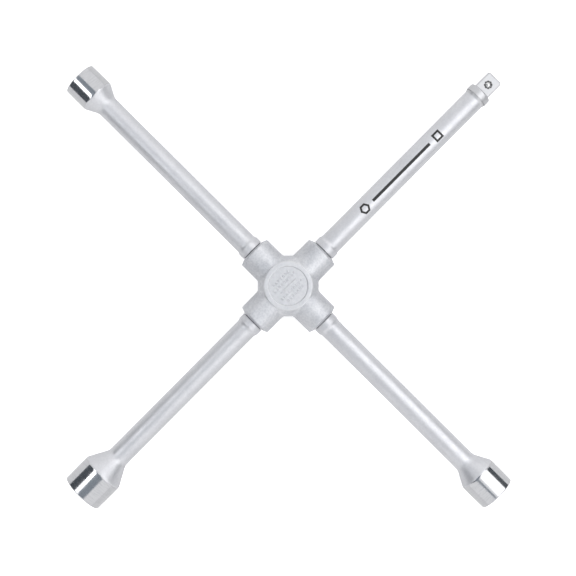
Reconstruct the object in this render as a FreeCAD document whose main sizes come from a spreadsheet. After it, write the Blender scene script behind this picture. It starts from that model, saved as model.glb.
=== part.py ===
"""Four-way lug wrench: a forged cross hub, three hex-socket arms, one square-drive arm and its ball detent.

The wrench lies flat in the XY plane with its hub centred on the origin. The square drive points along +X,
the 17 mm socket along +Y, the 22 mm socket along -X and the 19 mm socket along -Y. The detent ball faces +Z.
All lengths are in millimetres and come from the Sizes spreadsheet.
"""

import FreeCAD, Part
import math
import os
import Sketcher

from FreeCAD import Placement, Rotation, Vector

doc = FreeCAD.newDocument("lug_wrench")

# --------------------------------------------------------------------------- driving dimensions

DIMENSIONS = [
    ("core_radius", 22.1, "outline of the hub between two bosses"),
    ("flank_radius", 18.3, "round flank of the hub core, seen from the side"),
    ("core_crop", 13.2, "height at which the core is cut flat to carry the medallion"),
    ("core_stock", 16.0, "height of the core before that cut"),
    ("ring_outer_radius", 17.9, "foot of the medallion's raised ring"),
    ("ring_inner_radius", 13.85, "edge of the medallion's floor"),
    ("ring_draft", 0.35, "how far each wall of the ring leans inward"),
    ("ring_height", 15.2, "top of the raised ring above the middle plane"),
    ("ring_root", 9.0, "where the ring's outer wall starts, inside the core"),
    ("floor_height", 13.9, "medallion floor above the middle plane"),
    ("ring_round", 0.6, "rounding of the ring's crests"),
    ("legend_height", 0.55, "how far the legend stands above the floor"),
    ("legend_draft", 30.0, "lean of the legend's sides, in degrees"),
    ("legend_width", 1.9, "height of one dash, across its row"),
    ("legend_bar", 15.0, "length of the long bar in the middle"),
    ("legend_bar_width", 1.0, "width of that bar"),
    ("legend_dash", 1.2, "width of one dash, along its row"),
    ("legend_dash_pitch", 2.4, "spacing of the dashes"),
    ("legend_row_pitch", 3.7, "spacing of the rows"),
    ("legend_margin", 2.0, "bare edge between the legend and the ring"),
    ("boss_radius", 13.0, "outside of a boss"),
    ("boss_reach", 36.1, "hub centre to a boss's end face"),
    ("boss_bevel", 1.5, "length of the bevel on a boss's end"),
    ("boss_lip_radius", 8.9, "outside of the narrow end face inside the bevel"),
    ("boss_blend", 3.0, "blend between a boss and the hub core"),
    ("bevel_round", 0.7, "rounding where a boss meets its bevel"),
    ("bore_radius", 7.6, "bore that takes an arm's spigot"),
    ("bore_bottom", 13.0, "hub centre to the rim of a bore's bottom"),
    ("bore_tip", 9.0, "hub centre to the drill point of a bore"),
    ("bore_mouth", 0.5, "chamfer at a bore's mouth"),
    ("spigot_end", 14.0, "hub centre to a spigot's inner end"),
    ("spigot_chamfer", 1.0, "lead-in on a spigot"),
    ("shoulder_gap", 0.45, "gap left between a boss and its arm's collar"),
    ("collar_radius", 8.8, "collar on each arm next to the hub"),
    ("collar_length", 4.6, "straight part of that collar"),
    ("collar_taper", 1.9, "run-out from that collar to the arm"),
    ("collar_edge", 0.2, "chamfer on that collar's hub side"),
    ("collar_rim_round", 0.8, "rounding where that collar meets its run-out"),
    ("collar_foot_round", 3.0, "rounding where the run-out meets the arm"),
    ("arm_radius", 8.0, "arm bar"),
    ("flare_angle", 28.7, "half angle of the flare behind a socket, in degrees"),
    ("flare_foot_round", 9.0, "rounding where an arm starts to flare"),
    ("flare_rim_round", 5.0, "rounding where the flare meets the socket"),
    ("mouth_round", 0.8, "rounding of a socket's outer mouth edge"),
    ("hex_play", 0.1, "clearance of a socket across its flats"),
    ("hex_lead", 0.4, "how far the lead-in cone reaches past the hex corners"),
    ("lead_angle", 30.0, "slope of the lead-in cone, in degrees"),
    ("relief_length", 5.0, "straight wall of the relief below the hexagon"),
    ("drill_angle", 31.0, "slope of a drill point, in degrees"),
    ("flats_17", 17.0, "nut size"),
    ("radius_17", 13.1, "outside of the 17 mm socket"),
    ("flare_end_17", 194.9, "hub centre to the end of its flare"),
    ("reach_17", 213.6, "hub centre to its mouth"),
    ("hex_depth_17", 15.0, "depth of its hexagon"),
    ("relief_radius_17", 7.3, "drilled relief under its hexagon"),
    ("flats_19", 19.0, "nut size"),
    ("radius_19", 14.35, "outside of the 19 mm socket"),
    ("flare_end_19", 193.0, "hub centre to the end of its flare"),
    ("reach_19", 213.6, "hub centre to its mouth"),
    ("hex_depth_19", 16.5, "depth of its hexagon"),
    ("relief_radius_19", 8.3, "drilled relief under its hexagon"),
    ("flats_22", 22.0, "nut size"),
    ("radius_22", 15.95, "outside of the 22 mm socket"),
    ("flare_end_22", 190.3, "hub centre to the end of its flare"),
    ("reach_22", 212.1, "hub centre to its mouth"),
    ("hex_depth_22", 18.0, "depth of its hexagon"),
    ("relief_radius_22", 9.8, "drilled relief under its hexagon"),
    ("drive_reach", 212.1, "hub centre to the end of the square"),
    ("drive_square", 12.7, "width across the square's flats"),
    ("drive_length", 13.8, "length of the square"),
    ("drive_corner", 1.25, "rounding of the square's long edges"),
    ("drive_tip", 1.05, "chamfer around the square's end"),
    ("drive_collar_radius", 8.9, "collar behind the square"),
    ("drive_collar_length", 5.4, "straight part of that collar"),
    ("drive_groove_width", 0.45, "turned groove at that collar's back edge"),
    ("drive_groove_radius", 8.1, "bottom of that groove"),
    ("drive_taper_radius", 8.6, "start of the run-out behind the groove"),
    ("drive_collar_taper", 1.9, "run-out from the groove to the arm"),
    ("drive_collar_nose", 1.2, "rounding of that collar towards the square"),
    ("ball_radius", 2.38, "detent ball"),
    ("ball_from_tip", 7.5, "square's end to the ball's centre"),
    ("ball_proud", 0.75, "how far the ball stands out of the flat"),
    ("pocket_radius", 2.45, "drilled pocket that holds the ball and its spring"),
    ("pocket_bottom", -3.4, "bottom of that pocket, measured up from the arm's axis"),
    ("lip_depth", 0.9, "thickness of the staked lip that keeps the ball in"),
    ("lip_radius", 1.8, "hole left inside that lip"),
    ("stake_radius", 0.6, "one staking mark"),
    ("stake_circle", 2.55, "circle on which the staking marks lie"),
    ("stake_depth", 0.3, "depth of a staking mark"),
    ("spring_wire", 0.3, "radius of the detent spring's wire"),
    ("spring_radius", 1.75, "radius of the spring's coil, to the middle of the wire"),
    ("spring_play", 0.05, "clearance at each end of the spring"),
    ("overcut", 1.0, "how far cutting outlines run past the metal they remove"),
]
ARMS = 4
STAKES = 8  # staking marks around the ball
SPRING_TURNS = 5
LEGEND_ROWS = 2  # dash rows on each side of the long bar
NEAR = 0.02  # edges closer than this to a place count as being there


class Size:
    """A length that carries its value and the spreadsheet formula that gives it."""

    def __init__(self, value, formula):
        self.value = value
        self.formula = formula

    def __add__(self, other):
        other = size(other)
        return Size(self.value + other.value, f"({self.formula} + {other.formula})")

    def __sub__(self, other):
        other = size(other)
        return Size(self.value - other.value, f"({self.formula} - {other.formula})")

    def __mul__(self, other):
        other = size(other)
        return Size(self.value * other.value, f"({self.formula} * {other.formula})")

    def __truediv__(self, other):
        other = size(other)
        return Size(self.value / other.value, f"({self.formula} / {other.formula})")

    def __neg__(self):
        return Size(-self.value, f"(0 - {self.formula})")

    def root(self):
        return Size(math.sqrt(self.value), f"sqrt({self.formula})")

    def tangent(self):
        """The tangent of an angle in degrees."""
        return Size(math.tan(math.radians(self.value)), f"tan({self.formula})")


def size(value):
    """A Size as it is, or a plain number as a Size."""
    return value if isinstance(value, Size) else Size(float(value), f"({value:.6f})")


def write_sheet():
    """Puts every driving dimension in the Sizes sheet and returns them as Size objects."""
    sheet = doc.addObject("Spreadsheet::Sheet", "Sizes")
    found = {}
    for row, (name, value, note) in enumerate(DIMENSIONS, start=1):
        sheet.set(f"A{row}", name)
        sheet.set(f"B{row}", str(value))
        sheet.setAlias(f"B{row}", name)
        sheet.set(f"C{row}", note)
        found[name] = Size(value, f"Sizes.{name}")
    doc.recompute()
    return found


D = write_sheet()

# --------------------------------------------------------------------------- sketches and features


def new_body(name):
    body = doc.addObject("PartDesign::Body", name)
    body.Label = name
    return body


def origin_part(body, role):
    """One of the body's own planes or axes."""
    return next(f for f in body.Origin.OriginFeatures if f.Role == role)


def new_sketch(body, name, role, offset=(0, 0, 0)):
    """A sketch on one of the body's own planes, moved by offset in the sketch's own axes."""
    sketch = body.newObject("Sketcher::SketchObject", name)
    sketch.AttachmentSupport = [(origin_part(body, role), "")]
    sketch.MapMode = "FlatFace"
    for axis, distance in zip("xyz", offset):
        sketch.setExpression(f"AttachmentOffset.Base.{axis}", size(distance).formula)
    doc.recompute()
    return sketch


def hold(sketch, lengths):
    """Adds constraints that each end in a length, and ties those lengths to the sheet."""
    first = sketch.ConstraintCount
    ready = [Sketcher.Constraint(*words[:-1], size(words[-1]).value) for words in lengths]
    sketch.addConstraint(ready)
    for index, words in enumerate(lengths, start=first):
        sketch.setExpression(f"Constraints[{index}]", size(words[-1]).formula)


def join(sketch, kind, pairs):
    """Ties the end of each piece of geometry to the start of its partner."""
    sketch.addConstraint([Sketcher.Constraint(kind, one, 2, other, 1) for one, other in pairs])


def pins(geometry, end, x, y):
    """The two lengths that fix one point of a piece of sketch geometry at (x, y)."""
    return [("DistanceX", geometry, end, x), ("DistanceY", geometry, end, y)]


def line(sketch, start, end):
    """Draws a line between two (x, y) points given as sizes and returns its number."""
    ends = [Vector(size(x).value, size(y).value, 0) for x, y in (start, end)]
    return sketch.addGeometry(Part.LineSegment(*ends), False)


def outline(sketch, *loops):
    """Closed outlines of straight lines through the points of each loop."""
    joins = []
    lengths = []
    for points in loops:
        following = points[1:] + points[:1]
        sides = [line(sketch, *ends) for ends in zip(points, following)]
        joins += zip(sides, sides[1:] + sides[:1])
        for side, (x, y) in zip(sides, points):
            lengths += pins(side, 1, x, y)
    join(sketch, "Coincident", joins)
    hold(sketch, lengths)
    doc.recompute()


def circles(sketch, middles, radius):
    lengths = []
    for x, y in middles:
        where = Vector(size(x).value, size(y).value, 0)
        ring = sketch.addGeometry(Part.Circle(where, Vector(0, 0, 1), radius.value), False)
        lengths += pins(ring, 3, x, y) + [("Radius", ring, radius)]
    hold(sketch, lengths)
    doc.recompute()


def arc(sketch, middle, radius, start, end):
    """Draws an arc between two angles in degrees and returns its number."""
    where = Vector(size(middle[0]).value, size(middle[1]).value, 0)
    whole = Part.Circle(where, Vector(0, 0, 1), radius.value)
    ends = (math.radians(start), math.radians(end))
    return sketch.addGeometry(Part.ArcOfCircle(whole, *ends), False)


def turned(body, name, kind, sketch, axis):
    """A full turn of a sketch about one of its own axes or edges: a Revolution or a Groove."""
    before = body.Tip.Shape.Volume if body.Tip else 0
    feature = body.newObject(f"PartDesign::{kind}", name)
    feature.Profile = sketch
    feature.ReferenceAxis = (sketch, [axis])
    feature.Angle = 360
    doc.recompute()
    must_change(before, feature, kind == "Revolution")
    return feature


def pushed(body, name, kind, sketch, length, backwards=False):
    """A Pad or a Pocket of a sketch."""
    before = body.Tip.Shape.Volume
    feature = body.newObject(f"PartDesign::{kind}", name)
    feature.Profile = sketch
    feature.setExpression("Length", length.formula)
    feature.Reversed = backwards
    doc.recompute()
    must_change(before, feature, kind == "Pad")
    return feature


def around(body, name, feature, axis, count):
    """Repeats a feature about an axis, count times in a full turn."""
    pattern = body.newObject("PartDesign::PolarPattern", name)
    pattern.Originals = [feature]
    pattern.Axis = axis
    pattern.Angle = 360
    pattern.Occurrences = count
    body.Tip = pattern
    doc.recompute()


def dressed(body, name, kind, edges, amount):
    """A Fillet or a Chamfer on the named edges of the body so far."""
    if not edges:
        raise RuntimeError(f"no edges found for {name}")
    base = body.Tip
    feature = body.newObject(f"PartDesign::{kind}", name)
    feature.Base = (base, edges)
    where = "Radius" if kind == "Fillet" else "Size"
    feature.setExpression(where, amount.formula)
    body.Tip = feature
    doc.recompute()
    if not feature.Shape.isValid():
        raise RuntimeError(f"{name} failed")


def must_change(before, feature, gains):
    """Stops the build if a feature did nothing, or did the opposite of what it is for."""
    change = feature.Shape.Volume - before
    if change * (1 if gains else -1) <= 0:
        raise RuntimeError(f"{feature.Name} changed the volume by {change:.3f}")


def edges_where(body, test):
    """Names of the body's edges that pass a test."""
    edges = enumerate(body.Tip.Shape.Edges, start=1)
    return [f"Edge{number}" for number, edge in edges if test(edge)]


def circles_at(body, distance, radius):
    """Names of the circular edges of a radius whose centres lie a distance from the hub's centre."""

    def fits(edge):
        if not isinstance(edge.Curve, Part.Circle):
            return False
        off = abs(edge.Curve.Center.Length - distance.value)
        return off < NEAR and abs(edge.Curve.Radius - radius.value) < NEAR

    return edges_where(body, fits)


# --------------------------------------------------------------------------- hub


def draw_core(sketch):
    """Half the hub core's cross-section: a round flank between two flat ends."""
    middle = D["core_radius"] - D["flank_radius"]
    top = D["core_stock"]
    half_width = (D["flank_radius"] * D["flank_radius"] - top * top).root() + middle
    swing = math.degrees(math.asin(top.value / D["flank_radius"].value))
    flank = arc(sketch, (middle, 0), D["flank_radius"], -swing, swing)
    upper = line(sketch, (half_width, top), (0, top))
    axis = line(sketch, (0, top), (0, -top))
    lower = line(sketch, (0, -top), (half_width, -top))
    join(sketch, "Coincident", [(flank, upper), (upper, axis), (axis, lower), (lower, flank)])
    flank_lengths = pins(flank, 3, middle, 0) + [("Radius", flank, D["flank_radius"])]
    end_lengths = [("DistanceY", flank, 2, top), ("DistanceY", flank, 1, -top)]
    axis_lengths = pins(axis, 1, 0, top) + pins(axis, 2, 0, -top)
    hold(sketch, flank_lengths + end_lengths + axis_lengths)
    doc.recompute()


def add_bosses(body):
    """Four bevelled bosses in a cross, blended into the core."""
    sketch = new_sketch(body, "boss_outline", "XY_Plane")
    bevel_start = D["boss_reach"] - D["boss_bevel"]
    outline(
        sketch,
        [
            (0, 0),
            (0, D["boss_radius"]),
            (bevel_start, D["boss_radius"]),
            (D["boss_reach"], D["boss_lip_radius"]),
            (D["boss_reach"], 0),
        ],
    )
    boss = turned(body, "boss", "Revolution", sketch, "H_Axis")
    around(body, "bosses", boss, (origin_part(body, "Z_Axis"), [""]), ARMS)
    dressed(body, "boss_blends", "Fillet", edges_where(body, joins_boss_to_core), D["boss_blend"])
    rims = circles_at(body, bevel_start, D["boss_radius"])
    dressed(body, "bevel_rounds", "Fillet", rims, D["bevel_round"])


def joins_boss_to_core(edge):
    """True for the closed curve where a boss runs into the round core."""
    plain = isinstance(edge.Curve, (Part.Circle, Part.Line))
    inside = edge.CenterOfMass.Length < D["core_radius"].value
    return inside and not plain


def add_medallion(body):
    """Cuts the core flat above and below, then sets a ringed disc on each side."""
    for side in (1, -1):
        name = "top" if side > 0 else "bottom"
        crop = new_sketch(body, f"{name}_crop_outline", "XZ_Plane")
        low = D["core_crop"] * side
        high = (D["core_stock"] + D["overcut"]) * side
        outline(crop, [(0, low), (D["core_radius"], low), (D["core_radius"], high), (0, high)])
        turned(body, f"{name}_crop", "Groove", crop, "V_Axis")

    disc = new_sketch(body, "medallion_outline", "XZ_Plane")
    outline(disc, medallion_side(1) + medallion_side(-1)[::-1])
    turned(body, "medallion", "Revolution", disc, "V_Axis")
    dressed(body, "ring_rounds", "Fillet", edges_where(body, on_ring_crest), D["ring_round"])


def medallion_side(side):
    """The disc's outline on one side of the middle plane, from the axis outward."""
    return [
        (0, D["floor_height"] * side),
        (D["ring_inner_radius"], D["floor_height"] * side),
        (D["ring_inner_radius"] + D["ring_draft"], D["ring_height"] * side),
        (D["ring_outer_radius"] - D["ring_draft"], D["ring_height"] * side),
        (D["ring_outer_radius"], D["ring_root"] * side),
    ]


def on_ring_crest(edge):
    """True for the sharp circles on top of the two medallion rings."""
    if not isinstance(edge.Curve, Part.Circle):
        return False
    return abs(abs(edge.Curve.Center.z) - D["ring_height"].value) < NEAR


def add_legend(body):
    """Rows of plain dashes either side of one long bar: a legend with no letters in it."""
    reach = D["ring_inner_radius"] - D["legend_margin"]
    for row in range(-LEGEND_ROWS, LEGEND_ROWS + 1):
        height = D["legend_row_pitch"] * row
        half_chord = math.sqrt(reach.value**2 - height.value**2)
        dashes = int(2 * half_chord / D["legend_dash_pitch"].value)
        middles = [D["legend_dash_pitch"] * (dash - (dashes - 1) / 2) for dash in range(dashes)]
        bars = [rectangle(x, height, D["legend_dash"], D["legend_width"]) for x in middles]
        if row == 0:
            bars = [rectangle(0, 0, D["legend_bar"], D["legend_bar_width"])]
        name = f"legend_row_{row + LEGEND_ROWS}"
        sketch = new_sketch(body, f"{name}_outline", "XY_Plane", (0, 0, D["floor_height"]))
        outline(sketch, *bars)
        pad = pushed(body, name, "Pad", sketch, D["legend_height"])
        pad.setExpression("TaperAngle", (-D["legend_draft"]).formula)
        doc.recompute()


def rectangle(x, y, length, width):
    """The corners of a rectangle about its middle point."""
    half_length = length / 2
    half_width = width / 2
    left = size(x) - half_length
    right = size(x) + half_length
    low = size(y) - half_width
    high = size(y) + half_width
    return [(left, low), (right, low), (right, high), (left, high)]


def cut_bores(body):
    """The four blind bores that take the arms' spigots, each with a drill point at its bottom."""
    sketch = new_sketch(body, "bore_outline", "XY_Plane")
    mouth = D["bore_radius"] + D["bore_mouth"]
    outline(
        sketch,
        [
            (D["bore_tip"], 0),
            (D["bore_bottom"], D["bore_radius"]),
            (D["boss_reach"] - D["bore_mouth"], D["bore_radius"]),
            (D["boss_reach"], mouth),
            (D["boss_reach"] + D["overcut"], mouth),
            (D["boss_reach"] + D["overcut"], 0),
        ],
    )
    bore = turned(body, "bore", "Groove", sketch, "H_Axis")
    around(body, "bores", bore, (origin_part(body, "Z_Axis"), [""]), ARMS)


def make_hub():
    body = new_body("hub")
    core = new_sketch(body, "core_outline", "XZ_Plane")
    draw_core(core)
    turned(body, "core", "Revolution", core, "V_Axis")
    add_bosses(body)
    add_medallion(body)
    add_legend(body)
    cut_bores(body)
    return body


# --------------------------------------------------------------------------- arms


def collar_ends():
    """Distances from the hub's centre to the collar's start, its end and the end of its run-out."""
    start = D["boss_reach"] + D["shoulder_gap"]
    end = start + D["collar_length"]
    return start, end, end + D["collar_taper"]


def spigot_and_collar():
    """The inner end that every arm shares, as outline points from the axis out to the arm bar."""
    start, end, taper_end = collar_ends()
    return [
        (D["spigot_end"], 0),
        (D["spigot_end"], D["bore_radius"] - D["spigot_chamfer"]),
        (D["spigot_end"] + D["spigot_chamfer"], D["bore_radius"]),
        (start, D["bore_radius"]),
        (start, D["collar_radius"]),
        (end, D["collar_radius"]),
        (taper_end, D["arm_radius"]),
    ]


def soften_collar(body):
    """A crisp inner edge and a smooth run-out for the collar next to the hub."""
    start, end, taper_end = collar_ends()
    inner_edge = circles_at(body, start, D["collar_radius"])
    dressed(body, "collar_edge", "Chamfer", inner_edge, D["collar_edge"])
    rim = circles_at(body, end, D["collar_radius"])
    dressed(body, "collar_rim", "Fillet", rim, D["collar_rim_round"])
    foot = circles_at(body, taper_end, D["arm_radius"])
    dressed(body, "collar_foot", "Fillet", foot, D["collar_foot_round"])


def shape_flare(body, nut, flare_start):
    """Rounds the flare's two ends and the socket's mouth edge."""
    foot = circles_at(body, flare_start, D["arm_radius"])
    dressed(body, "flare_foot", "Fillet", foot, D["flare_foot_round"])
    rim = circles_at(body, D[f"flare_end_{nut}"], D[f"radius_{nut}"])
    dressed(body, "flare_rim", "Fillet", rim, D["flare_rim_round"])
    mouth = circles_at(body, D[f"reach_{nut}"], D[f"radius_{nut}"])
    dressed(body, "mouth_rim", "Fillet", mouth, D["mouth_round"])


def cut_relief(body, nut, corner):
    """The lead-in cone at the mouth and the drilled relief below the hexagon, in one turn."""
    reach = D[f"reach_{nut}"]
    relief = D[f"relief_radius_{nut}"]
    lead = corner + D["hex_lead"]
    lead_depth = (lead - relief) * D["lead_angle"].tangent()
    bottom = reach - D[f"hex_depth_{nut}"] - D["relief_length"]
    sketch = new_sketch(body, "relief_outline", "XY_Plane")
    outline(
        sketch,
        [
            (reach + D["overcut"], 0),
            (reach + D["overcut"], lead),
            (reach, lead),
            (reach - lead_depth, relief),
            (bottom, relief),
            (bottom - relief * D["drill_angle"].tangent(), 0),
        ],
    )
    turned(body, "relief", "Groove", sketch, "H_Axis")


def cut_hexagon(body, nut, corner):
    """The nut's hexagon, with a corner up and a corner down."""
    sketch = new_sketch(body, "hex_outline", "YZ_Plane", (0, 0, D[f"reach_{nut}"]))
    side = corner / 2
    half_flats = (D[f"flats_{nut}"] + D["hex_play"]) / 2
    right = [(0, corner), (half_flats, side), (half_flats, -side)]
    left = [(0, -corner), (-half_flats, -side), (-half_flats, side)]
    outline(sketch, right + left)
    pushed(body, "hexagon", "Pocket", sketch, D[f"hex_depth_{nut}"])


def make_socket_arm(nut, degrees):
    """An arm with a hexagon socket, built along +X and then turned to its own direction."""
    body = new_body(f"socket_arm_{nut}mm")
    radius = D[f"radius_{nut}"]
    corner = (D[f"flats_{nut}"] + D["hex_play"]) / size(3).root()
    flare_end = D[f"flare_end_{nut}"]
    flare_start = flare_end - (radius - D["arm_radius"]) / D["flare_angle"].tangent()
    reach = D[f"reach_{nut}"]
    sketch = new_sketch(body, "arm_outline", "XY_Plane")
    flare = [(flare_start, D["arm_radius"]), (flare_end, radius), (reach, radius), (reach, 0)]
    outline(sketch, spigot_and_collar() + flare)
    turned(body, "arm", "Revolution", sketch, "H_Axis")
    shape_flare(body, nut, flare_start)
    soften_collar(body)
    cut_relief(body, nut, corner)
    cut_hexagon(body, nut, corner)
    body.Placement = Placement(Vector(0, 0, 0), Rotation(Vector(0, 0, 1), degrees))
    return body


# --------------------------------------------------------------------------- square-drive arm


def make_drive_arm():
    """The arm with the half-inch square drive, along +X."""
    body = new_body("drive_arm")
    shoulder = D["drive_reach"] - D["drive_length"]
    collar_back = shoulder - D["drive_collar_length"]
    groove_back = collar_back - D["drive_groove_width"]
    sketch = new_sketch(body, "arm_outline", "XY_Plane")
    end = [
        (groove_back - D["drive_collar_taper"], D["arm_radius"]),
        (groove_back, D["drive_taper_radius"]),
        (groove_back, D["drive_groove_radius"]),
        (collar_back, D["drive_groove_radius"]),
        (collar_back, D["drive_collar_radius"]),
        (shoulder, D["drive_collar_radius"]),
        (shoulder, 0),
    ]
    outline(sketch, spigot_and_collar() + end)
    turned(body, "arm", "Revolution", sketch, "H_Axis")
    nose = circles_at(body, shoulder, D["drive_collar_radius"])
    dressed(body, "collar_nose", "Fillet", nose, D["drive_collar_nose"])
    soften_collar(body)
    add_square(body, shoulder)
    drill_ball_pocket(body)
    return body


def draw_rounded_square(sketch, width, corner):
    """A square about the sketch's origin with an arc at each corner."""
    middle = width / 2 - corner
    signs = [(1, 1), (-1, 1), (-1, -1), (1, -1)]
    middles = [(middle * x, middle * y) for x, y in signs]
    arcs = [arc(sketch, middles[i], corner, 90 * i, 90 * i + 90) for i in range(4)]
    half = width / 2
    ends = [
        ((middle, half), (-middle, half)),
        ((-half, middle), (-half, -middle)),
        ((-middle, -half), (middle, -half)),
        ((half, -middle), (half, middle)),
    ]
    sides = [line(sketch, *pair) for pair in ends]
    join(sketch, "Tangent", list(zip(arcs, sides)) + list(zip(sides, arcs[1:] + arcs[:1])))
    lengths = []
    for corner_arc, (x, y) in zip(arcs, middles):
        lengths += pins(corner_arc, 3, x, y) + [("Radius", corner_arc, corner)]
    hold(sketch, lengths)
    doc.recompute()


def add_square(body, shoulder):
    """The square drive, rooted inside the collar so that the collar's rounded nose stays closed."""
    root = D["drive_collar_nose"] + D["overcut"]
    sketch = new_sketch(body, "square_outline", "YZ_Plane", (0, 0, shoulder - root))
    draw_rounded_square(sketch, D["drive_square"], D["drive_corner"])
    pushed(body, "square", "Pad", sketch, D["drive_length"] + root)

    def at_tip(edge):
        return abs(edge.CenterOfMass.x - D["drive_reach"].value) < NEAR

    dressed(body, "square_tip", "Chamfer", edges_where(body, at_tip), D["drive_tip"])


def ball_centre():
    """Where the ball's centre lies: along the arm, and above its axis."""
    along = D["drive_reach"] - D["ball_from_tip"]
    return along, D["drive_square"] / 2 + D["ball_proud"] - D["ball_radius"]


def drill_ball_pocket(body):
    """The ball's pocket, its inturned lip and the staking marks around it."""
    along, _ = ball_centre()
    face = D["drive_square"] / 2
    above = face + D["overcut"]
    sketch = new_sketch(body, "pocket_outline", "XZ_Plane")
    outline(
        sketch,
        [
            (along, D["pocket_bottom"]),
            (along + D["pocket_radius"], D["pocket_bottom"]),
            (along + D["pocket_radius"], face - D["lip_depth"]),
            (along + D["lip_radius"], face),
            (along + D["lip_radius"], above),
            (along, above),
        ],
    )
    turned(body, "ball_pocket", "Groove", sketch, "Edge6")

    marks = new_sketch(body, "stake_outline", "XY_Plane", (0, 0, face))
    turns = [2 * math.pi * stake / STAKES for stake in range(STAKES)]
    reach = D["stake_circle"]
    middles = [(along + reach * math.cos(turn), reach * math.sin(turn)) for turn in turns]
    circles(marks, middles, D["stake_radius"])
    pushed(body, "stakes", "Pocket", marks, D["stake_depth"])


# --------------------------------------------------------------------------- ball detent


def make_ball():
    along, height = ball_centre()
    ball = doc.addObject("Part::Sphere", "detent_ball")
    ball.Label = "detent_ball"
    ball.setExpression("Radius", D["ball_radius"].formula)
    ball.setExpression("Placement.Base.x", along.formula)
    ball.setExpression("Placement.Base.z", height.formula)
    doc.recompute()
    return ball


def make_spring():
    """The coil spring between the pocket's bottom and the ball, swept along a helix."""
    along, height = ball_centre()
    low = D["pocket_bottom"] + D["spring_wire"] + D["spring_play"]
    touching = D["ball_radius"] + D["spring_wire"]
    # The top turn meets the ball off its axis, where the ball's underside is higher than its lowest point.
    below_centre = (touching * touching - D["spring_radius"] * D["spring_radius"]).root()
    coil = height - below_centre - D["spring_play"] - low
    path = doc.addObject("Part::Helix", "spring_path")
    path.setExpression("Height", coil.formula)
    path.setExpression("Pitch", (coil / SPRING_TURNS).formula)
    path.setExpression("Radius", D["spring_radius"].formula)
    wire = doc.addObject("Part::Circle", "spring_section")
    wire.setExpression("Radius", D["spring_wire"].formula)
    wire.Placement.Rotation = Rotation(Vector(1, 0, 0), 90)
    wire.setExpression("Placement.Base.x", D["spring_radius"].formula)
    doc.recompute()
    spring = doc.addObject("Part::Sweep", "detent_spring")
    spring.Label = "detent_spring"
    spring.Sections = [wire]
    spring.Spine = (path, [])
    spring.Solid = True
    spring.Frenet = True
    spring.setExpression("Placement.Base.x", along.formula)
    spring.setExpression("Placement.Base.z", low.formula)
    doc.recompute()
    return spring


# --------------------------------------------------------------------------- build, check, write


def check(parts):
    """Stops the build if any object failed or any piece is not one sound solid."""
    doc.recompute()
    for thing in doc.Objects:
        if "Invalid" in thing.State or "Error" in thing.State:
            raise RuntimeError(f"{thing.Name} failed: {thing.State}")
    for part in parts:
        shape = part.Shape
        if shape.isNull() or not shape.isValid() or len(shape.Solids) != 1:
            raise RuntimeError(f"{part.Label} is not one sound solid")
        print(f"{part.Label}: {shape.Volume:.1f} mm3")


def main():
    parts = [
        make_hub(),
        make_drive_arm(),
        make_socket_arm(17, 90),
        make_socket_arm(22, 180),
        make_socket_arm(19, 270),
        make_ball(),
        make_spring(),
    ]
    check(parts)
    os.makedirs("parts", exist_ok=True)
    for part in parts:
        part.Shape.exportStep(os.path.join("parts", part.Label + ".step"))


main()
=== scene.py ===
"""Looks for the four-way lug wrench: satin and polished chrome, a printed size mark, a white studio floor.

Everything is in metres in the CAD frame: +X along the square-drive arm, +Y along the 17 mm socket arm, +Z up.
"""

import math

import bpy
from mathutils import Matrix, Vector


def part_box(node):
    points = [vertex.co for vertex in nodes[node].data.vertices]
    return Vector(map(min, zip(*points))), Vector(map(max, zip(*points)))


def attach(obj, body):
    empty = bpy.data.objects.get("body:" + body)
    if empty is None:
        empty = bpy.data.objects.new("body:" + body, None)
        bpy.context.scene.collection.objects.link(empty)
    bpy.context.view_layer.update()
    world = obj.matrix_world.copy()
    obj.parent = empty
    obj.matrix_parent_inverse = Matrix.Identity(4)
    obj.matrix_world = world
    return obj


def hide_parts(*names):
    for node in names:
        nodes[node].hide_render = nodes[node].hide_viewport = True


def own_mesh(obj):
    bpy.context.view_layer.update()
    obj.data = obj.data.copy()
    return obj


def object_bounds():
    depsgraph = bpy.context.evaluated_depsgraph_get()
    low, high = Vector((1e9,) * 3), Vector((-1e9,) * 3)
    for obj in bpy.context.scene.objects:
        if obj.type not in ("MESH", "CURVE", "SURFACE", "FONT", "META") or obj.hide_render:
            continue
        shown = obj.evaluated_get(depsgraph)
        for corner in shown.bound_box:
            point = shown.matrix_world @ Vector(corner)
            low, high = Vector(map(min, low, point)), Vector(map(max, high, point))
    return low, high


MM = 0.001
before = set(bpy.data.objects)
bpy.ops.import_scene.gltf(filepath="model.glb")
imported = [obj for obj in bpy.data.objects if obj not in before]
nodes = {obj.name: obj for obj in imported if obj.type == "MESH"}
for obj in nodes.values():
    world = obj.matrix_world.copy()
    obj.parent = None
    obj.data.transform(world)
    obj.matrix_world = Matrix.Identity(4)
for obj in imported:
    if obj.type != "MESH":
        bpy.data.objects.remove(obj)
cad_low, cad_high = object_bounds()

# --------------------------------------------------------------------------- shader building blocks


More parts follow.
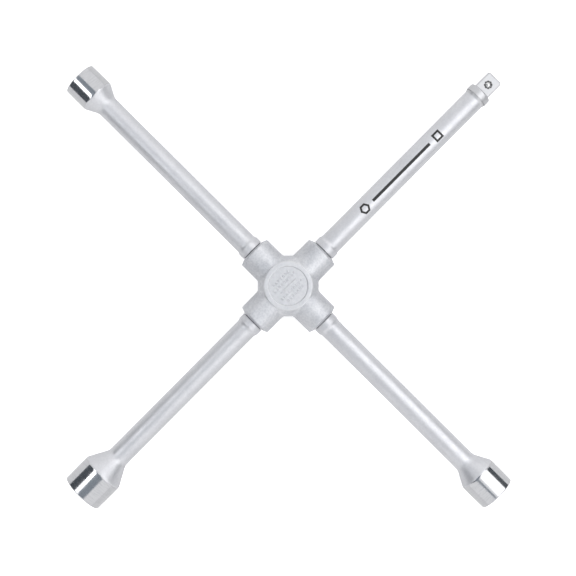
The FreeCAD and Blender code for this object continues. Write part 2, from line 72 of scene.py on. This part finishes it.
class Shader:
    """A material whose nodes are added one call at a time. Sockets and plain numbers mix freely as inputs."""

    def __init__(self, name):
        self.material = bpy.data.materials.new(name)
        self.material.use_nodes = True
        self.tree = self.material.node_tree
        self.surface = self.tree.nodes["Principled BSDF"]
        self.place = self.node("ShaderNodeTexCoord").outputs["Object"]
        axes = self.node("ShaderNodeSeparateXYZ", Vector=self.place).outputs
        self.x, self.y, self.z = axes

    def node(self, kind, settings=None, **inputs):
        made = self.tree.nodes.new(kind)
        for name, value in (settings or {}).items():
            setattr(made, name, value)
        for name, value in inputs.items():
            self.feed(made.inputs[name.replace("_", " ")], value)
        return made

    def feed(self, socket, value):
        if isinstance(value, bpy.types.NodeSocket):
            self.tree.links.new(value, socket)
        else:
            socket.default_value = value

    def maths(self, operation, *values):
        """One Math node. The values are sockets or numbers."""
        made = self.node("ShaderNodeMath", {"operation": operation})
        for socket, value in zip(made.inputs, values):
            self.feed(socket, value)
        return made.outputs[0]

    def length(self, a, b):
        squares = self.maths("ADD", self.maths("MULTIPLY", a, a), self.maths("MULTIPLY", b, b))
        return self.maths("SQRT", squares)

    def ramp(self, value, start, end, low=0.0, high=1.0):
        """Smooth step: low where value is before start, high where it is past end."""
        made = self.node("ShaderNodeMapRange", {"interpolation_type": "SMOOTHSTEP"}, Value=value)
        made.inputs["From Min"].default_value = start
        made.inputs["From Max"].default_value = end
        self.feed(made.inputs["To Min"], low)
        self.feed(made.inputs["To Max"], high)
        return made.outputs["Result"]

    def noise(self, size, detail=3.0, stretch=(1, 1, 1)):
        """Noise with features of about the given size in metres, from 0 to 1."""
        spread = self.node("ShaderNodeMapping", Vector=self.place, Scale=stretch).outputs[0]
        made = self.node("ShaderNodeTexNoise", Vector=spread, Scale=1 / size, Detail=detail)
        return made.outputs["Fac"]

    def blend(self, part, first, second):
        """Numbers or sockets mixed by part: 0 gives the first, 1 the second."""
        made = self.node("ShaderNodeMix", {"data_type": "FLOAT"})
        for socket, value in zip(made.inputs[:1] + made.inputs[2:4], (part, first, second)):
            self.feed(socket, value)
        return made.outputs[0]

    def tint(self, part, first, second):
        """Colours mixed by part."""
        made = self.node("ShaderNodeMix", {"data_type": "RGBA"})
        for socket, value in zip(made.inputs[:1] + made.inputs[6:8], (part, first, second)):
            self.feed(socket, value)
        return made.outputs[2]

    def bump(self, height, depth, normal=None):
        made = self.node("ShaderNodeBump", Height=height, Distance=depth, Strength=1.0)
        if normal:
            self.feed(made.inputs["Normal"], normal)
        return made.outputs[0]

    def finish(self, **inputs):
        for name, value in inputs.items():
            self.feed(self.surface.inputs[name.replace("_", " ")], value)
        return self.material


def grey(level, warmth=0.0):
    """A colour at a grey level, with a little more red and less blue as warmth rises."""
    return (level + warmth, level, level - warmth, 1.0)


# --------------------------------------------------------------------------- materials

SATIN = (0.638, 0.640, 0.662, 1.0)
STAINED = (0.574, 0.576, 0.602, 1.0)
FORGED = (0.682, 0.684, 0.704, 1.0)
SMOKED = (0.520, 0.530, 0.560, 1.0)
COINED = (0.700, 0.701, 0.721, 1.0)
MACHINED = (0.528, 0.530, 0.545, 1.0)
POLISHED = (0.530, 0.531, 0.547, 1.0)
RUBBED = (0.482, 0.484, 0.502, 1.0)
INSIDE = grey(0.36)
# Near black: painted shade in the gaps at the bosses and in the staking marks, and dirt around the staking
# marks.
SHADE_AND_GRIME = grey(0.035)
INK = grey(0.012)

# Roughness. The satin and the forging vary upwards from their smoothest by the spread.
SATIN_SMOOTHEST = 0.44
FORGED_SMOOTHEST = 0.50
SATIN_SPREAD = 0.12
MEDALLION_ROUGHNESS = 0.42
MIRROR_ROUGHNESS = (0.10, 0.22)
BROACHED_ROUGHNESS = 0.34
MACHINED_ROUGHNESS = 0.46
DULL_ROUGHNESS = 0.55

# How deep the skin's grain, pits and waves are.
FORGED_SKIN = (0.03 * MM, 0.08 * MM, 0.12 * MM)
SATIN_SKIN = (0.012 * MM, 0.018 * MM, 0.07 * MM)
MACHINED_SKIN = (0.004 * MM, 0.004 * MM, 0.02 * MM)
MIRROR_SKIN = (0.0006 * MM, 0.0, 0.004 * MM)

SEAM_END = 36.5 * MM  # just short of where the arms' collars begin
RING_EDGE = 17.7 * MM  # just inside the raised ring's outer edge, where the hub turns smoother
DRIVE_COLLAR = 191.0 * MM  # where the machined end of the drive arm begins
SQUARE_FACE = 6.35 * MM
STAKING_RADIUS = 3.1 * MM  # out to about the rim of the staking marks around the ball

# Size, axis it lies along, which way it points, where its polish begins, and its outside radius.
SOCKETS = (
    (17, "y", 1.0, 195.1 * MM, 13.1 * MM),
    (19, "y", -1.0, 193.0 * MM, 14.35 * MM),
    (22, "x", -1.0, 190.8 * MM, 15.95 * MM),
)


def skin(shader, depths):
    """Bump for a blasted skin under chrome: fine grain, small pits and gentle hammer waves."""
    grain_depth, pit_depth, wave_depth = depths
    grain = shader.bump(shader.noise(0.35 * MM, 2.0), grain_depth)
    pits = shader.bump(shader.noise(1.3 * MM, 2.0), pit_depth, grain)
    return shader.bump(shader.noise(5.0 * MM, 3.0), wave_depth, pits)


def skin_between(shader, part, first, second):
    """A skin whose depths go from the first's to the second's with part."""
    return skin(shader, [shader.blend(part, a, b) for a, b in zip(first, second)])


def mottle(shader, strongest=1.0):
    return shader.ramp(shader.noise(1.6 * MM, 2.0), 0.35, 0.65, 0.0, strongest)


def seam(shader, along):
    """1 in the narrow gap between a boss and an arm's collar, where it is painted near black as shade."""
    return shader.ramp(along, SEAM_END, SEAM_END - 0.05 * MM)


def satin_roughness(shader, smoothest=SATIN_SMOOTHEST):
    """Broad patches, with fine flecks over them."""
    patches = shader.noise(9.0 * MM, 4.0)
    flecks = shader.noise(0.8 * MM, 2.0)
    return shader.ramp(shader.blend(0.5, patches, flecks), 0.3, 0.7, smoothest, smoothest + SATIN_SPREAD)


def satin_colour(shader, clean=SATIN, stained=STAINED):
    """Cloudy stains with a fine mottle over them."""
    stains = shader.ramp(shader.noise(14.0 * MM, 4.0), 0.35, 0.75)
    return shader.tint(shader.blend(0.45, stains, mottle(shader)), clean, stained)


def hub_material():
    """A forged skin, a little smoother on the coined medallion and its ring."""
    shader = Shader("satin_chrome_hub")
    from_middle = shader.length(shader.x, shader.y)
    medallion = shader.ramp(from_middle, RING_EDGE + 0.5 * MM, RING_EDGE - 0.5 * MM)
    coined = shader.tint(mottle(shader, 0.6), COINED, SATIN)
    return shader.finish(
        Base_Color=shader.tint(medallion, satin_colour(shader, FORGED, SMOKED), coined),
        Metallic=1.0,
        Roughness=shader.blend(medallion, satin_roughness(shader, FORGED_SMOOTHEST), MEDALLION_ROUGHNESS),
        Normal=skin(shader, FORGED_SKIN),
    )


def socket_arm_material(name, along_name, direction, polish_from, outside_radius):
    """Satin bar and flare, a mirror-polished socket and a duller broached inside."""
    shader = Shader(name)
    across = {"x": shader.y, "y": shader.x}[along_name]
    along = shader.maths("MULTIPLY", getattr(shader, along_name), direction)
    radius = shader.length(across, shader.z)
    ragged = shader.maths("MULTIPLY", shader.noise(6.0 * MM, 2.0), 1.4 * MM)
    uneven = shader.maths("SUBTRACT", along, ragged)
    polished = shader.ramp(uneven, polish_from - 0.8 * MM, polish_from - 0.5 * MM)
    rim = outside_radius - 1.2 * MM
    inside = shader.ramp(radius, rim, rim - 0.3 * MM)
    inside = shader.maths("MULTIPLY", inside, polished)
    around = {"x": (1, 0.15, 0.15), "y": (0.15, 1, 0.15)}[along_name]  # polishing lines run around the socket
    streaks = shader.ramp(shader.noise(0.9 * MM, 3.0, around), 0.35, 0.75)
    colour = shader.tint(polished, satin_colour(shader), shader.tint(streaks, POLISHED, RUBBED))
    colour = shader.tint(inside, colour, INSIDE)
    gap_shade = seam(shader, along)
    # Painted shade: the arm is near black in the narrow gap at the boss.
    colour = shader.tint(gap_shade, colour, SHADE_AND_GRIME)
    mirror = shader.blend(streaks, *MIRROR_ROUGHNESS)
    roughness = shader.blend(polished, satin_roughness(shader), mirror)
    roughness = shader.blend(inside, roughness, BROACHED_ROUGHNESS)
    return shader.finish(
        Base_Color=colour,
        Metallic=shader.maths("SUBTRACT", 1.0, gap_shade),
        Roughness=roughness,
        Normal=skin_between(shader, polished, SATIN_SKIN, MIRROR_SKIN),
    )


def size_mark(shader):
    """The printed mark on the drive arm: a hexagon, a rule and a square, as plain outlines."""
    middle = 115.5 * MM
    reach = 37.0 * MM  # from the middle of the rule to each outline
    line = 1.5 * MM
    half_hexagon = 3.6 * MM
    half_square = 3.4 * MM
    half_rule = (29.0 * MM, 1.1 * MM)
    along = shader.maths("SUBTRACT", shader.x, middle)
    up = shader.maths("ABSOLUTE", shader.y)

    def ring(distance, outer):
        outside_hole = shader.maths("GREATER_THAN", distance, outer - line)
        return shader.maths("MULTIPLY", outside_hole, shader.maths("LESS_THAN", distance, outer))

    def from_point(where):
        return shader.maths("ABSOLUTE", shader.maths("SUBTRACT", along, where))

    beside = from_point(-reach)
    slant = shader.maths("MULTIPLY", beside, math.cos(math.radians(30)))
    slant = shader.maths("ADD", slant, shader.maths("MULTIPLY", up, math.sin(math.radians(30))))
    hexagon = ring(shader.maths("MAXIMUM", slant, up), half_hexagon)
    square = ring(shader.maths("MAXIMUM", from_point(reach), up), half_square)
    rule = shader.maths("LESS_THAN", up, half_rule[1])
    rule = shader.maths("MULTIPLY", rule, shader.maths("LESS_THAN", from_point(0.0), half_rule[0]))
    mark = shader.maths("MAXIMUM", shader.maths("MAXIMUM", hexagon, square), rule)
    return shader.maths("MULTIPLY", mark, shader.maths("GREATER_THAN", shader.z, 0.0))


def staking_grime_and_shade(shader):
    """Painted shade and dirt in the staking marks, and a patchy smudge of dirt between them and the ball."""
    ball_low, ball_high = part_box("detent_ball")
    from_ball = shader.maths("SUBTRACT", shader.x, (ball_low.x + ball_high.x) / 2)
    radius = shader.length(from_ball, shader.y)
    # Painted shade: darker where the staking marks sink below the square's face.
    sunk = shader.ramp(shader.z, SQUARE_FACE - 0.02 * MM, SQUARE_FACE - 0.1 * MM)
    patches = shader.ramp(shader.noise(0.5 * MM, 2.0), 0.3, 0.6)
    smudge = shader.ramp(radius, STAKING_RADIUS, STAKING_RADIUS - 0.4 * MM, 0.0, patches)
    near = shader.ramp(radius, STAKING_RADIUS + 0.3 * MM, STAKING_RADIUS + 0.1 * MM)
    above = shader.maths("GREATER_THAN", shader.z, 0.0)
    grime_and_shade = shader.maths("MULTIPLY", shader.maths("MAXIMUM", sunk, smudge), near)
    return shader.maths("MULTIPLY", grime_and_shade, above)


def drive_arm_material():
    """Satin bar, smoother machined collar and square, staking marks darkened with painted shade and dirt, and
    the printed size mark.
    """
    shader = Shader("satin_chrome_drive_arm")
    machined = shader.ramp(shader.x, DRIVE_COLLAR - 0.5 * MM, DRIVE_COLLAR + 0.5 * MM)
    ink = size_mark(shader)
    # Painted shade: the gap at the boss is near black, as are the sunk staking marks, which also carry dirt.
    grime_and_shade = shader.maths("MAXIMUM", staking_grime_and_shade(shader), seam(shader, shader.x))
    dull = shader.maths("MAXIMUM", ink, grime_and_shade)
    colour = shader.tint(machined, satin_colour(shader), MACHINED)
    colour = shader.tint(grime_and_shade, colour, SHADE_AND_GRIME)
    colour = shader.tint(ink, colour, INK)
    roughness = shader.blend(machined, satin_roughness(shader), MACHINED_ROUGHNESS)
    return shader.finish(
        Base_Color=colour,
        Metallic=shader.maths("SUBTRACT", 1.0, dull),
        Roughness=shader.blend(dull, roughness, DULL_ROUGHNESS),
        Normal=skin_between(shader, machined, SATIN_SKIN, MACHINED_SKIN),
    )


def ball_material():
    shader = Shader("polished_ball_steel")
    scuffs = shader.noise(0.4 * MM, 3.0)
    return shader.finish(
        Base_Color=shader.tint(scuffs, grey(0.70), grey(0.60)),
        Metallic=1.0,
        Roughness=shader.ramp(scuffs, 0.35, 0.7, 0.06, 0.2),
        Normal=shader.bump(scuffs, 0.004 * MM),
    )


def spring_material():
    shader = Shader("spring_steel")
    drawn = shader.noise(0.2 * MM, 3.0, (1, 1, 4))
    return shader.finish(
        Base_Color=shader.tint(drawn, grey(0.34), grey(0.44, 0.01)),
        Metallic=1.0,
        Roughness=shader.ramp(drawn, 0.3, 0.7, 0.3, 0.45),
        Normal=shader.bump(drawn, 0.006 * MM),
    )


def floor_material():
    shader = Shader("pale_floor")
    shade = shader.ramp(shader.noise(60.0 * MM, 4.0), 0.3, 0.7)
    return shader.finish(
        Base_Color=shader.tint(shade, grey(0.90), grey(0.92)),
        Roughness=shader.ramp(shader.noise(4.0 * MM, 3.0), 0.3, 0.7, 0.75, 0.85),
        Normal=shader.bump(shader.noise(0.6 * MM, 2.0), 0.01 * MM),
        # Painted light: the floor glows a little though it is no lamp, which washes out the contact shadow
        # around the wrench.
        Emission_Color=grey(1.0),
        Emission_Strength=0.35,
    )


def paint(node, material):
    for slot in nodes[node].material_slots:
        slot.material = material


# --------------------------------------------------------------------------- studio

PHOTO_RIGHT = Vector((0.705, -0.709, 0)).normalized()
PHOTO_UP = Vector((0.709, 0.705, 0)).normalized()
DOWN = Vector((0, 0, -1))
LENS = 89.4  # on a sensor 36 mm wide
FLOOR_SIDE = 16.0
WORLD_STRENGTH = 1.18

# Places are along the picture's right and up directions and above the hub, in metres.
CAMERA_PLACE = (-0.15 * MM, -1.46 * MM, 1.038)


def studio_point(right, up, height):
    """A place in the studio, given along the picture's right and up directions and above the hub."""
    return PHOTO_RIGHT * right + PHOTO_UP * up + Vector((0, 0, height))


def aim(direction):
    """A turn that points -Z along a direction, with Y as near the picture's up as it can be."""
    back = -direction.normalized()
    side = PHOTO_UP.cross(back).normalized()
    return Matrix((side, back.cross(side), back)).transposed().to_4x4()


def add_camera():
    """Straight above the wrench, with its arms on the picture's diagonals."""
    data = bpy.data.cameras.new("camera")
    data.sensor_width = 36.0
    data.lens = LENS
    data.clip_end = 50.0
    camera = bpy.data.objects.new("camera", data)
    camera.matrix_world = Matrix.Translation(studio_point(*CAMERA_PLACE)) @ aim(DOWN)
    bpy.context.scene.collection.objects.link(camera)
    bpy.context.scene.camera = camera


def plane(name, place, size, direction):
    """A rectangle in the studio that faces along a direction."""
    width, depth = size
    mesh = bpy.data.meshes.new(name)
    corners = [(x * width / 2, y * depth / 2, 0) for x, y in ((-1, -1), (1, -1), (1, 1), (-1, 1))]
    mesh.from_pydata(corners, [], [(0, 1, 2, 3)])
    made = bpy.data.objects.new(name, mesh)
    made.matrix_world = Matrix.Translation(studio_point(*place)) @ aim(direction)
    bpy.context.scene.collection.objects.link(made)
    return made


def softbox(name, place, size, power):
    """A rectangular light that shines straight down and isn't seen by the camera."""
    data = bpy.data.lights.new(name, "AREA")
    data.shape = "RECTANGLE"
    data.size, data.size_y = size
    data.energy = power
    light = bpy.data.objects.new(name, data)
    light.matrix_world = Matrix.Translation(studio_point(*place)) @ aim(DOWN)
    light.visible_camera = False
    bpy.context.scene.collection.objects.link(light)


def card(name, place, size, level, coolness, direction=None):
    """A grey card that only shows in reflections. It faces the hub unless a direction is given."""
    made = plane(name, place, size, direction or -studio_point(*place))
    shader = Shader(name)
    material = shader.finish(
        Base_Color=shader.tint(
            shader.noise(20 * MM, 2.0),
            grey(level, -coolness * level),
            grey(level * 1.15, -coolness * level),
        ),
        Roughness=0.9,
        Specular_IOR_Level=0.1,
    )
    made.data.materials.append(material)
    made.visible_camera = False
    made.visible_diffuse = False
    made.visible_shadow = False


def add_floor():
    floor = plane("floor", (0, 0, cad_low.z), (FLOOR_SIDE, FLOOR_SIDE), DOWN)
    floor.data.materials.append(floor_material())


def add_world():
    world = bpy.data.worlds.new("studio")
    bpy.context.scene.world = world
    world.use_nodes = True
    background = world.node_tree.nodes["Background"]
    background.inputs["Color"].default_value = grey(1.0, -0.006)
    background.inputs["Strength"].default_value = WORLD_STRENGTH


def build_studio():
    """A white floor, two lights overhead and the grey cards that the metal mirrors."""
    add_floor()
    add_world()
    add_camera()
    softbox("left_strip", place=(-0.53, 0.0, 0.70), size=(0.24, 0.70), power=1.7)
    softbox("right_box", place=(0.63, 0.04, 0.70), size=(0.86, 0.96), power=3.1)
    card("left_flag", place=(-1.0, 0.0, 0.62), size=(1.2, 1.7), level=0.075, coolness=0.14)
    card("right_flag", place=(1.3, 0.0, 0.38), size=(0.74, 1.9), level=0.09, coolness=0.10)
    card("ceiling", place=(-0.27, -0.115, 1.12), size=(0.66, 1.25), level=0.25, coolness=0.12)
    sheen_place = (0, 0, cad_low.z + 0.05 * MM)
    card("floor_sheen", sheen_place, (FLOOR_SIDE, FLOOR_SIDE), level=0.66, coolness=0.0, direction=DOWN)
    bpy.context.scene.view_settings.view_transform = "Standard"


# --------------------------------------------------------------------------- the wrench


def add_spring():
    """The coil spring as a piece of its own, attached to the wrench."""
    cad_spring = nodes["detent_spring"]
    spring = bpy.data.objects.new("pressed_spring", cad_spring.data.copy())
    spring.matrix_world = cad_spring.matrix_world
    bpy.context.scene.collection.objects.link(spring)
    spring.material_slots[0].material = spring_material()
    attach(spring, "wrench")
    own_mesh(spring)
    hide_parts("detent_spring")


paint("hub", hub_material())
paint("drive_arm", drive_arm_material())
for size, *shape in SOCKETS:
    paint(f"socket_arm_{size}mm", socket_arm_material(f"chrome_arm_{size}", *shape))
paint("detent_ball", ball_material())
add_spring()
build_studio()
